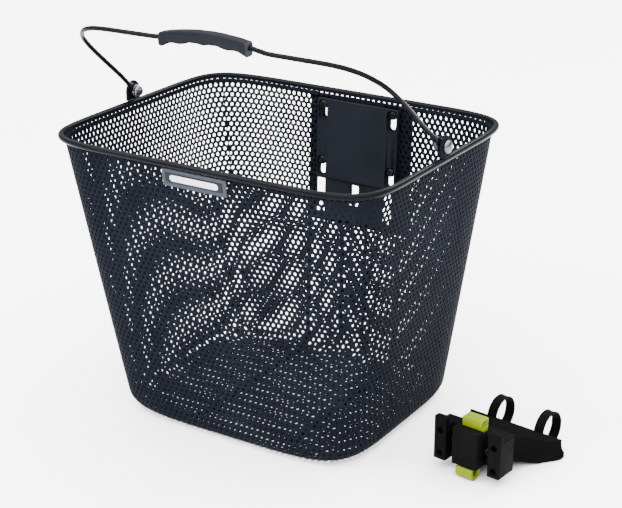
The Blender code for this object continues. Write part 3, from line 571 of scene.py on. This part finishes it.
def perforate(name, node, patch, parity=0, openings=()):
    cells, holes = wall_cells(patch, parity, openings)

    def surface(depth):
        def points(keys, ring):
            v = patch.low + keys[:, 1] * patch.row / 6
            v = np.where(keys[:, 1] <= 1, patch.low, v)
            v = np.where(keys[:, 1] >= 6 * patch.rows - 1, patch.high, v)
            reach = patch.reach(v)
            s = np.clip(keys[:, 0] * PITCH / 4, -reach, reach)
            return patch.locate(np.concatenate([s, ring[:, 0]]),
                                np.concatenate([v, ring[:, 1]]), depth)
        return points
    points, faces = sheet_mesh(cells, holes, surface(0), surface(1))
    return add_piece(name, points.tolist(), faces, node)


def make_walls():
    """Four perforated walls; the back one leaves its cells out round the plates' openings."""
    low, high = WALL_SPAN
    gaps = [(-x - PLATE_X + MESH_SPREAD / 2, width + MESH_SPREAD, bottom - 0.002, top)
            for x, width, bottom, top in WINDOWS + SLOTS]
    for wall in ("front", "right", "back", "left"):
        patch = Patch(wall, wall_profile, low, high, ROWS)
        perforate(f"perforated_{wall}", "mesh_wall", patch, 0, gaps if wall == "back" else ())


def make_pan():
    """The floor's rounded edge in four strips, whose holes run on from the walls'."""
    top = FLOOR_FILLET * math.pi / 2 + PAN_HEIGHT - FLOOR_FILLET
    for wall in ("front", "right", "back", "left"):
        patch = Patch(wall, pan_profile, 0.0, top, PAN_ROWS)
        perforate(f"floor_edge_{wall}", "mesh_floor", patch, PAN_ROWS % 2)
    make_flat_floor()


def make_flat_floor():
    """The floor's flat middle, whose cells end at the rounded edge."""
    half = np.array([LOW_HALF[0] - FLOOR_FILLET, LOW_HALF[1] - FLOOR_FILLET])
    row = PITCH * 0.86
    centre = np.array([0, LOW_SHIFT])

    def norm(p):
        return (np.abs((p - centre) / half) ** LOW_POWER).sum(-1) ** (1 / LOW_POWER)
    angles = math.tau * np.arange(12) / 12
    around = np.stack([np.cos(angles), np.sin(angles)], -1)
    cells, holes = [], []
    rows, columns = int(half[1] / row) + 2, int(half[0] / PITCH) + 2
    for j in range(-rows, rows + 1):
        for i in range(-columns, columns + 1):
            p = centre + np.array([(i + 0.5 * (j % 2)) * PITCH, j * row])
            if norm(p + around * (PITCH * 0.55)).min() > 0.995:
                continue
            cells.append((4 * i + 2 * (j % 2), 6 * j))
            size = next((k for k in (1.0, 0.75, 0.5)
                         if norm(p + around * (HOLE[1] * k + BRIDGE)).max() < 1), 0)
            holes.append((*p, HOLE[0] * size, HOLE[1] * size))

    def surface(z):
        def points(keys, ring):
            p = centre + keys * np.array([PITCH / 4, row / 6])
            p = centre + (p - centre) / np.maximum(norm(p), 1)[:, None]
            flat = np.concatenate([p, ring])
            return np.column_stack([flat, np.full(len(flat), z)])
        return points
    points, faces = sheet_mesh(np.array(cells), np.array(holes), surface(SHEET), surface(0.0))
    add_piece("floor_middle", points.tolist(), faces, "mesh_floor")


def superellipse_loop(half, power, middle, z, count):
    """Evenly spaced points round a superellipse, anticlockwise from the middle of the front."""
    share = np.linspace(-1, 1, 1200)[:-1] * 0.5 ** (1 / power)
    across = (1 - np.abs(share) ** power) ** (1 / power)
    sides = [(share, -across), (across, share), (-share, across), (-across, -share)]
    points = np.concatenate([np.stack([x * half[0], middle + y * half[1]], -1)
                             for x, y in sides])
    points = np.roll(points, -len(share) // 2, 0)
    steps = np.linalg.norm(np.diff(points, axis=0, append=points[:1]), axis=1)
    length = np.concatenate([[0], np.cumsum(steps)])
    at = np.arange(count) / count * length[-1]
    closed = np.concatenate([points, points[:1]])
    return [(np.interp(d, length, closed[:, 0]), np.interp(d, length, closed[:, 1]), z)
            for d in at]


def make_rim():
    """The round bead, and the hem folded inside it, open where the inner plate stands."""
    path = superellipse_loop(BEAD_HALF, TOP_POWER, TOP_SHIFT, RIM_Z, 400)
    add_piece("round_bead", *tube(path, BEAD_RADIUS, 24, closed=True), "rim_bead", [WIRE])
    t = sum(HEM_SPAN) / 2 / RIM_Z
    half = [low + (top - low) * t for low, top in zip(LOW_HALF, TOP_HALF)]
    power = LOW_POWER + (TOP_POWER - LOW_POWER) * t
    middle = LOW_SHIFT + (TOP_SHIFT - LOW_SHIFT) * t
    path = superellipse_loop(half, power, middle, 0, 400)
    keep = [k for k, (x, y, _) in enumerate(path)
            if y < 0 or abs(x - PLATE_X) > PLATE_HALF + 0.0006]
    start = next(k for k in keep if k - 1 not in keep and k > 1)
    order = [k for k in keep if k >= start] + [k for k in keep if k < start]
    low, high = HEM_SPAN
    lean = (TOP_HALF[0] - LOW_HALF[0]) / RIM_Z * (high - low) / 2
    rings = []
    for k in order:
        x, y, _ = path[k]
        inward = Vector((-x, middle - y, 0))
        inward = Vector((inward.x / half[0] ** 2 * abs(x / half[0]) ** (power - 2),
                         inward.y / half[1] ** 2 * abs((y - middle) / half[1]) ** (power - 2), 0))
        inward.normalize()
        near, far = SHEET + GAP, SHEET + GAP + 0.0009
        ring = []
        for depth, z, lip in ((near, low, lean), (far, low, lean),
                              (far + 0.0001, low + 0.0004, lean),
                              (far, high, -lean), (near, high, -lean)):
            ring.append(Vector((x, y, z)) + inward * (depth + lip))
        rings.append(ring)
    add_piece("folded_hem", *skin(rings), "rim_hem")


def make_braces():
    """Two wires down the back and along the floor, and a U-shaped loop between them."""
    lift, low_z = SHEET + 0.0025 + 0.0018, SHEET + 0.0025 + GAP
    top = BACK_WALL @ Vector((0, -lift, BRACE_TOP))
    low = BACK_WALL @ Vector((0, -lift, low_z))
    for side, x in (("left", PLATE_X - BRACE_X), ("right", PLATE_X + BRACE_X)):
        ends = [Vector((x, top.y, top.z)), Vector((x, low.y, low_z)), Vector((x, -0.075, low_z))]
        path = [ends[0], *rounded_corner(*ends, BRACE_BEND), ends[2]]
        add_piece(f"bent_wire_{side}", *tube(path, BRACE_RADIUS), f"brace_wire_{side}")
    depth, reach = -(SHEET + 0.002 + 0.0008), LOOP_REACH
    corners = [(-reach, depth, BRACE_TOP), (-reach, depth, LOOP_LOW), (reach, depth, LOOP_LOW),
               (reach, depth, BRACE_TOP)]
    path = [corners[0], *rounded_corner(*corners[:3], LOOP_BEND),
            *rounded_corner(*corners[1:], LOOP_BEND), corners[3]]
    add_piece("bent_loop", *tube(path, LOOP_RADIUS), "brace_loop", place=BACK_WALL)


# ---------------------------------------------------------------- plates, badge and lugs
def cross_recess(width, arm, low, high):
    """A cutter for a cross recess about z."""
    return [block((-width / 2, width / 2), (-arm / 2, arm / 2), (low, high)),
            block((-arm / 2, arm / 2), (-width / 2, width / 2), (low, high))]


def pan_head(radius, height, shank, length, steps=36):
    """A pan head with a rounded edge, its bearing face at z = 0, its shank along +z."""
    curve = height * 0.62       # of its rounded edge
    edge = [(radius - curve * (1 - math.sin(a)), -height + curve * (1 - math.cos(a)))
            for a in (math.pi / 2 * k / 6 for k in range(7))]
    return turned([(0.0004, -height), *edge, (radius, -0.0002), (radius - 0.0002, 0),
                   (shank, 0), (shank, length - 0.0006), (shank - 0.0005, length),
                   (0.0003, length)], steps)


def hex_nut(across, height, bore, collar=0.0):
    """A nut about z with turned chamfers; collar is the height of a round crimped top."""
    wide, flat = across / math.sqrt(3), across / 2
    top = height - collar
    profile = [(bore, 0), (flat * 0.97, 0), (wide, wide * 0.12), (wide, top - wide * 0.12),
               (flat * 0.97, top)]
    if collar:
        profile += [(flat * 0.86, top), (flat * 0.84, height - 0.0005), (flat * 0.76, height),
                    (bore + 0.0008, height - 0.0001)]
    profile.append((bore, height if not collar else height - 0.0006))
    return sided(profile, across, loop=True)


def flared(middle, width, low, high):
    """A cutter for a window that keeps its mouth and widens to the left and down behind it."""
    left, right = middle - width / 2, middle + width / 2
    mouth, deep = FLARE_DEPTHS
    return skin([[(left - out, y, low - down), (left - out, y, high), (right, y, high),
                  (right, y, low - down)]
                 for y, out, down in ((mouth, 0, 0), (deep, FLARE_LEFT, FLARE_DOWN))])


def make_plates():
    """Both plates with their screws and nuts; z in a fastener's frame points out of the tub."""
    softened("inner_plate", 0.0007, weight=lambda _, along: 1.0 if abs(along.y) < 0.5 else 0.6,
             place=BACK_WALL, materials=[PANEL], cuts=[flared(*window) for window in WINDOWS])
    softened("outer_plate", 0.0006, place=BACK_WALL,
             cuts=[flared(*window) for window in WINDOWS + FLARED_SLOTS])
    face = -SHEET - PLATE_GAP - INNER_PLATE + HEAD_SEAT - GAP
    nut_low = PLATE_GAP + OUTER_PLATE + GAP
    places = [(side * SCREW_X, level) for level in SCREW_LEVELS for side in (-1, 1)]
    for k, (x, level) in enumerate(places, 1):
        place = BACK_WALL @ Matrix.Translation((x, face, level)) @ ALONG_Y
        screw = pan_head(0.0045, 0.0030, 0.0025, nut_low + 0.005 - face)
        screw = add_piece(f"pan_screw_{k}", *screw, f"plate_screw_{k}", [DARK_ZINC], place)
        carve_piece(screw, cross_recess(0.0009, 0.0048, -0.01, -0.0014),
                    place @ Matrix.Rotation(0.5 * k, 4, "Z"))
        nut = hex_nut(0.008, 0.004, 0.0028)
        add_piece(f"hex_nut_{k}", *nut, f"plate_nut_{k}",
                  place=BACK_WALL @ Matrix.Translation((x, nut_low, level)) @ ALONG_Y)


def carve_piece(obj, cuts, place):
    """Cuts a finished piece and shades its new edges."""
    materials = list(obj.data.materials)
    carve(obj, cuts, place)
    obj.data.materials.clear()
    for made in materials:
        obj.data.materials.append(made)
    obj.data.shade_smooth()
    obj.data.set_sharp_from_angle(angle=math.radians(35))


def make_badge():
    """The frame under the bead, with a dark field in it and a blank reflective bar."""
    softened("badge_frame", 0.0006, weight=lambda point, along: 1.0 if point.y < -0.002 else 0.5,
             place=FRONT_WALL)
    low, high = BADGE_TOP - BADGE_TALL + BADGE_BORDER, BADGE_TOP - BADGE_BORDER
    middle, half = (low + high) / 2, 0.031
    back = -GAP - 0.0022
    field = block((-half + GAP, half - GAP), (back + 0.0003, back + 0.0006),
                  (low + GAP, high - GAP))
    bar = plaque(0.0262, 0.0030, back + 0.00012, back + 0.00035, middle)
    parts = [field, bar]
    indices = [index for index, part in enumerate(parts) for _ in part[1]]
    add_piece("blank_field", *merge(*parts), "badge_inlay", [FIELD, REFLEX], FRONT_WALL,
              indices=indices)


def plaque(half, tall, front, back, middle, steps=8):
    """A flat bar with round ends, in the plane of x and z."""
    outline = []
    for x, start in ((half - tall, -math.pi / 2), (-half + tall, math.pi / 2)):
        outline += [(x + tall * math.cos(start + math.pi * k / steps),
                     middle + tall * math.sin(start + math.pi * k / steps))
                    for k in range(steps + 1)]
    return skin([[(x, y, z) for x, z in outline] for y in (front, back)])


def make_pivots():
    """Domed bolts through the lugs, with washers and lock nuts on the inner side."""
    washer = LUG_FACE - 2 * GAP - EYE_SHEET - WASHER_SHEET
    nut_top = washer - GAP
    for side, facing in (("left", -1), ("right", 1)):
        softened(f"lug_{side}", 0.0006)
        place = (Matrix.Translation((0, 0, PIVOT_Z))
                 @ Matrix.Rotation(facing * math.pi / 2, 4, "Y"))
        head = LUG_FACE + LUG_SHEET + GAP
        dome = [(0.0063 * math.cos(a), head + 0.0006 + 0.0041 * math.sin(a))
                for a in (math.pi / 2 * k / 10 for k in range(10))]
        profile = [(0.0003, nut_top - 0.0049), (0.0024, nut_top - 0.0049),
                   (0.0029, nut_top - 0.0044), (0.0029, head), (0.0061, head),
                   (0.0063, head + 0.0003), *dome, (0.0004, head + 0.0047)]
        add_piece(f"domed_bolt_{side}", *turned(profile, 48), f"pivot_bolt_{side}", place=place)
        ring = [(0.0033, washer), (0.0060, washer), (0.0062, washer + 0.0002),
                (0.0062, washer + 0.0006), (0.0060, washer + WASHER_SHEET),
                (0.0033, washer + WASHER_SHEET)]
        add_piece(f"flat_washer_{side}", *turned(ring, 48, loop=True), f"pivot_washer_{side}",
                  place=place)
        turn = place @ Matrix.Translation((0, 0, nut_top)) @ Matrix.Rotation(math.pi, 4, "X")
        points, faces = hex_nut(0.010, 0.0042, 0.0033, 0.0013)
        collar = 48 * 6         # first point of the nut's seventh ring
        indices = [1 if min(face) >= collar else 0 for face in faces]
        add_piece(f"ringed_nut_{side}", points, faces, f"lock_nut_{side}", [ZINC, NYLON], turn,
                  indices=indices)


# ---------------------------------------------------------------- handle
LEG_ROUTE = ((0.17255, 0.0050), (0.1723, 0.0090), (0.1715, 0.0135), (0.1702, 0.022),
             (0.1688, 0.036), (0.1682, 0.058), (0.1673, 0.082), (0.1650, 0.102),
             (0.1600, 0.118), (0.1495, 0.1315), (0.1350, 0.1390), (0.1180, 0.1418),
             (0.0950, HANDLE_REACH))     # distance out from the middle, distance from the pivot
ARCH_ROUTE = ((0.0620, 0.0004), (0.0530, 0.0014), (0.0430, 0.0032), (0.0300, 0.0050),
              (0.0150, 0.0063))          # distance out, rise
ARCH_TOP = 0.0068
WIRE_RADIUS = 0.00225
GRIP_SHIFT, GRIP_HALF = -0.0062, 0.0472
GRIP_THICK, GRIP_TOP, GRIP_LOW = 0.0061, 0.0059, 0.0061
FINGER_WAVE, FINGERS = 0.0009, 4


def arch_point(x, rise):
    return (x, rise * math.sin(HANDLE_LEAN), HANDLE_REACH + rise * math.cos(HANDLE_LEAN))


def arch_rise(x):
    stations = [(0.0, ARCH_TOP), *reversed(ARCH_ROUTE), (0.075, 0.0), (1.0, 0.0)]
    return float(np.interp(abs(x), [a for a, _ in stations], [b for _, b in stations]))


def make_handle():
    """The bent wire, flattened towards the round eye pressed at each end."""
    half = smooth_route([*((x, 0, v) for x, v in LEG_ROUTE),
                         *(arch_point(x, rise) for x, rise in ARCH_ROUTE)], 7)
    path = [*half, Vector(arch_point(0, ARCH_TOP)),
            *(Vector((-p.x, p.y, p.z)) for p in reversed(half))]
    sizes = []
    for p in path:
        flat = min(max((0.0165 - p.z) / 0.008, 0), 1) if abs(p.x) > 0.1 else 0
        flat = flat * flat * (3 - 2 * flat)
        sizes.append((WIRE_RADIUS - 0.0009 * flat, WIRE_RADIUS + 0.0022 * flat))
    low = LUG_FACE - GAP - EYE_SHEET
    rim = [(0.0033, low + 0.0003), (0.0036, low), (0.0064, low), (0.0069, low + 0.0005),
           (0.0070, low + 0.0014), (0.0069, low + 0.0023), (0.0064, low + EYE_SHEET),
           (0.0036, low + EYE_SHEET), (0.0033, low + 0.0025)]
    eye = turned(rim, 48, loop=True)
    eyes = [moved(eye, Matrix.Rotation(facing * math.pi / 2, 4, "Y")) for facing in (-1, 1)]
    bar = tube(path, WIRE_RADIUS, 20, flatten=sizes)
    add_piece("bent_handle", *merge(bar, *eyes), "handle_wire", [WIRE], HANDLE)


def grip_section(c, s):
    """A rounded square with a crisp ridge along each side of its top."""
    y = math.copysign(abs(c) ** 0.62, c)
    z = math.copysign(abs(s) ** 0.62, s)
    ridge = 0.05 * math.exp(-((s - 0.70) / 0.16) ** 2)
    return y * (1 + ridge), z * (1 + ridge) - 0.07 * max(0, s) ** 8


def make_grip(sections=96, sides=40):
    """The moulded grip with finger waves below, and its top faces in a darker copy of its finish
    as painted shade.
    """
    rings, indices = [], []
    for k in range(sections + 1):
        along = -1 + 2 * k / sections
        x = GRIP_SHIFT + GRIP_HALF * along
        rise = arch_rise(x)
        top = rise + GRIP_TOP - 0.0006 * along ** 2
        low = rise - GRIP_LOW - 0.0016 * along ** 2
        low -= FINGER_WAVE * math.cos(math.pi * FINGERS * along)
        middle, half = (top + low) / 2, (top - low) / 2
        end = min((1 - abs(along)) * GRIP_HALF / 0.0016, 1)
        size = 0.86 + 0.14 * math.sqrt(1 - (1 - end) ** 2)
        ring = []
        for i in range(sides):
            angle = math.tau * (i + 0.5) / sides
            y, z = grip_section(math.cos(angle), math.sin(angle))
            ring.append((x, y * GRIP_THICK * size, middle + z * half * size))
        rings.append(ring)
    caps = [[(x, 0.0026 * math.cos(math.tau * (i + 0.5) / sides),
              arch_rise(x) + 0.0026 * math.sin(math.tau * (i + 0.5) / sides))
             for i in range(sides)]
            for x in (GRIP_SHIFT + GRIP_HALF, GRIP_SHIFT - GRIP_HALF)]
    points, faces = skin(rings + caps, loop=True)
    # Faces turned upwards take the darker copy of the finish: painted shade along the grip's top.
    for face in faces:
        side = min(i % sides for i in face)
        steep = math.sin(math.tau * (side + 1.0) / sides)
        indices.append(1 if steep > 0.72 else 0)
    add_piece("moulded_grip", points, faces, "grip", [SLATE, PAINTED_SHADE_TOP], GRIP, indices=indices)


# ---------------------------------------------------------------- bracket
def make_bracket():
    def front_weight(point, along):
        """Broad rounding on the boss's own edges and the cheeks' outer corners."""
        on_boss = abs(point.x) < 0.0145 and point.y < 0.0
        outer = abs(point.x) > 0.035
        return 1.0 if on_boss else 0.6 if outer else 0.22
    softened("bracket_front", 0.0022, 4, front_weight, (), BRACKET, angle=24)
    softened("bracket_yoke", 0.0005, 1, lambda point, along: 1.0, (), BRACKET, [MATT], 12)
    make_straps()
    make_release()
    for side, facing in (("left", -1), ("right", 1)):
        place = BRACKET @ Matrix.Translation((facing * 0.026, 0.0725, 0.0045))
        cap_screw(f"strap_screw_{side}", place, 0.0110)
        place = BRACKET @ Matrix.Translation((facing * 0.0182, 0.0117, 0.030)) @ ALONG_Y
        cap_screw(f"joining_screw_{side}", place, 0.0226)


def cap_screw(node, place, length):
    """A socket cap screw: bearing face at z = 0, shank along +z."""
    head = turned([(0.0003, -0.0035), (0.0029, -0.0035), (0.0034, -0.0030), (0.0034, -0.0002),
                   (0.0032, 0), (0.0019, 0), (0.0019, length - 0.0004), (0.0015, length),
                   (0.0003, length)], 32)
    screw = add_piece("socket_" + node, *head, node, place=place)
    carve_piece(screw, [sided([(0.01, -0.006), (0.01, -0.0016)], 0.0030, 24)], place)


def make_straps():
    """Clamp loops with a raised lip along each edge."""
    for side, facing in (("left", -1), ("right", 1)):
        place = BRACKET @ Matrix.Translation((facing * 0.026, 0.1010, 0.0190)) @ ALONG_X
        outer, inner, half = 0.0178, 0.0160, 0.0050
        profile = [(inner + 0.0003, -half), (outer - 0.0004, -half), (outer, -half + 0.0004),
                   (outer, -half + 0.0014), (outer - 0.0004, -half + 0.0018),
                   (outer - 0.0004, half - 0.0018), (outer, half - 0.0014),
                   (outer, half - 0.0004), (outer - 0.0004, half), (inner + 0.0003, half),
                   (inner, half - 0.0003), (inner, -half + 0.0003)]
        add_piece(f"clamp_loop_{side}", *turned(profile, 96, loop=True), f"clamp_strap_{side}",
                  place=place)


def make_release():
    """The ribbed push button and the curved latch under the boss."""
    slits = [block((0.0055, 0.02), (y, y + 0.0017), (0.0510, 0.0570))
             for y in (0.0098, 0.0130, 0.0162)]
    lines = [block((-0.0078, 0.0078), (y, y + 0.0007), (0.0581, 0.06)) for y in (0.0095, 0.0125)]
    softened("release_button", 0.0008, 3, lambda point, along: 1.0 if point.z > 0.045 else 0.4,
             slits + lines, BRACKET)
    arc = [(3.5 + 7.5 * math.cos(a), 7.5 + 7.5 * math.sin(a))
           for a in (math.radians(d) for d in range(180, 361, 12))]
    hollow = [(3.5 + 4.0 * math.cos(a), 7.5 + 4.0 * math.sin(a))
              for a in (math.radians(d) for d in range(360, 179, -15))]
    hook = [(y / 1000, z / 1000) for y, z in [(-4, 11.2), *arc, (11, 12.8), (7.5, 12.8), *hollow,
                                              (-0.5, 12.0), (-2.6, 12.6)]]
    ribs = [side_prism([(-0.0040, z), (-0.0034, z), (-0.0034, z + 0.0009), (-0.0040, z + 0.0009)],
                       -0.0062, 0.0062) for z in (0.0098, 0.0078)]
    tongue = block((-0.0070, 0.0070), (0.0062, 0.0105), (0.0110, 0.0193))
    parts = merge(side_prism(hook, -0.0086, 0.0086), tongue, *ribs)
    piece = add_piece("curved_latch", *parts, "latch", place=BRACKET)
    bevel = piece.modifiers.new("rounded", "BEVEL")
    bevel.width = 0.0005
    bevel.segments = 2
    bevel.limit_method = "ANGLE"
    bevel.angle_limit = math.radians(40)


# ---------------------------------------------------------------- everything else
def dress_remaining():
    """CAD nodes that keep their own shape get the finish of their slot."""
    shown = {name for name, obj in NODES.items() if not obj.hide_render}
    for name in shown:
        mesh = NODES[name].data
        mesh.materials.clear()
        mesh.materials.append(FINISHES[SLOT_OF[name]])


def make_stage():
    mesh = bpy.data.meshes.new("studio_floor")
    rings = [[(r * math.cos(math.tau * k / 64), r * math.sin(math.tau * k / 64), -0.0001)
              for k in range(64)] for r in (0.01, 12.0)]
    points, faces = skin(rings, closed=False)
    mesh.from_pydata(points, [], [*(tuple(reversed(f)) for f in faces), tuple(range(64))])
    floor = bpy.data.objects.new("studio_floor", mesh)
    bpy.context.scene.collection.objects.link(floor)
    made = bpy.data.materials.new("paper_white")
    made.use_nodes = True
    tree = made.node_tree
    shader = tree.nodes["Principled BSDF"]
    place = tree.nodes.new("ShaderNodeTexCoord").outputs["Object"]
    grain = socket(tree, "ShaderNodeTexNoise", Vector=place, Scale=900.0).outputs["Fac"]
    tree.links.new(spread(tree, grain, 0.82, 0.9), shader.inputs["Roughness"])
    shader.inputs["Base Color"].default_value = (0.93, 0.93, 0.93, 1)
    shader.inputs["Specular IOR Level"].default_value = 0.1
    mesh.materials.append(made)


def area_light(name, place, target, size, power, colour=(1, 1, 1)):
    data = bpy.data.lights.new(name, "AREA")
    data.shape = "RECTANGLE"
    data.size, data.size_y = size
    data.energy = power
    data.color = colour
    light = bpy.data.objects.new(name, data)
    light.location = place
    light.rotation_mode = "QUATERNION"
    light.rotation_quaternion = (Vector(target) - Vector(place)).to_track_quat("-Z", "Y")
    bpy.context.scene.collection.objects.link(light)


def make_lights():
    world = bpy.data.worlds.new("studio")
    world.use_nodes = True
    tree = world.node_tree
    ahead = tree.nodes.new("ShaderNodeTexCoord").outputs["Generated"]
    height = socket(tree, "ShaderNodeSeparateXYZ", Vector=ahead).outputs["Z"]
    tree.nodes["Background"].inputs["Color"].default_value = (1, 1, 1, 1)
    tree.links.new(spread(tree, height, 0.8, 11.0, (0.35, 0.85)),
                   tree.nodes["Background"].inputs["Strength"])
    bpy.context.scene.world = world
    area_light("key", (-1.1, -1.3, 1.7), (0, 0, 0.15), (0.9, 0.9), 60)
    area_light("strip", (0.7, -1.7, 1.5), (0.1, -0.1, 0.25), (1.4, 0.2), 30)
    area_light("back", (0.4, 1.6, 1.5), (0, 0, 0.25), (1.2, 0.5), 30)


def make_camera():
    data = bpy.data.cameras.new("camera")
    data.lens, data.sensor_width = 91.46, 36.0
    camera = bpy.data.objects.new("camera", data)
    camera.location = (0.786, -1.2013, 0.7253)
    back = Vector((0.49331, -0.78863, 0.36702))
    camera.rotation_mode = "QUATERNION"
    camera.rotation_quaternion = (-back).to_track_quat("-Z", "Y")
    bpy.context.scene.collection.objects.link(camera)
    bpy.context.scene.camera = camera


make_camera()
make_lights()
make_stage()
make_walls()
make_pan()
make_rim()
make_braces()
make_plates()
make_badge()
make_pivots()
make_handle()
make_grip()
make_bracket()
dress_remaining()
